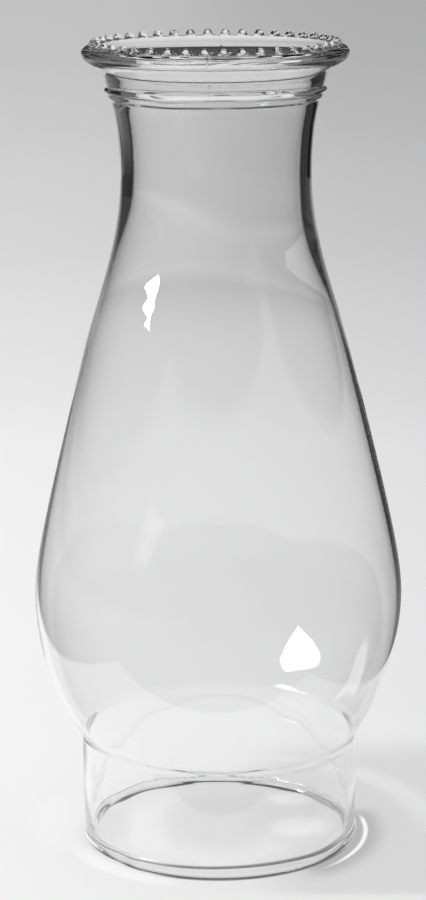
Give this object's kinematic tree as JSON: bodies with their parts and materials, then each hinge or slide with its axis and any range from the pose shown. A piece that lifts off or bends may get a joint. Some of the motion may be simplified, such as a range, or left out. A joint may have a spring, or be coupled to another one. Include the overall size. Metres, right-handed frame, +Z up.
{
  "type": "hurricane lamp globe",
  "caption": "Clear glass lamp globe: straight fitter, round bulb, long cone and a flared crown edged with beads, open at both ends.",
  "frame": {"origin": "centre of the rim that the globe stands on, in the plane of its lowest edge", "axes": "+Z up the globe's axis, from the fitter to the beaded crown; -Y faces the viewer of the picture, and every direction round the axis is alike"},
  "size_m": [0.0988, 0.0988, 0.216],
  "materials": {
    "clear_glass": "clear, polished, slightly wavy blown glass"
  },
  "bodies": {
    "root": {"glass_globe": "clear_glass"}
  },
  "joints": []
}
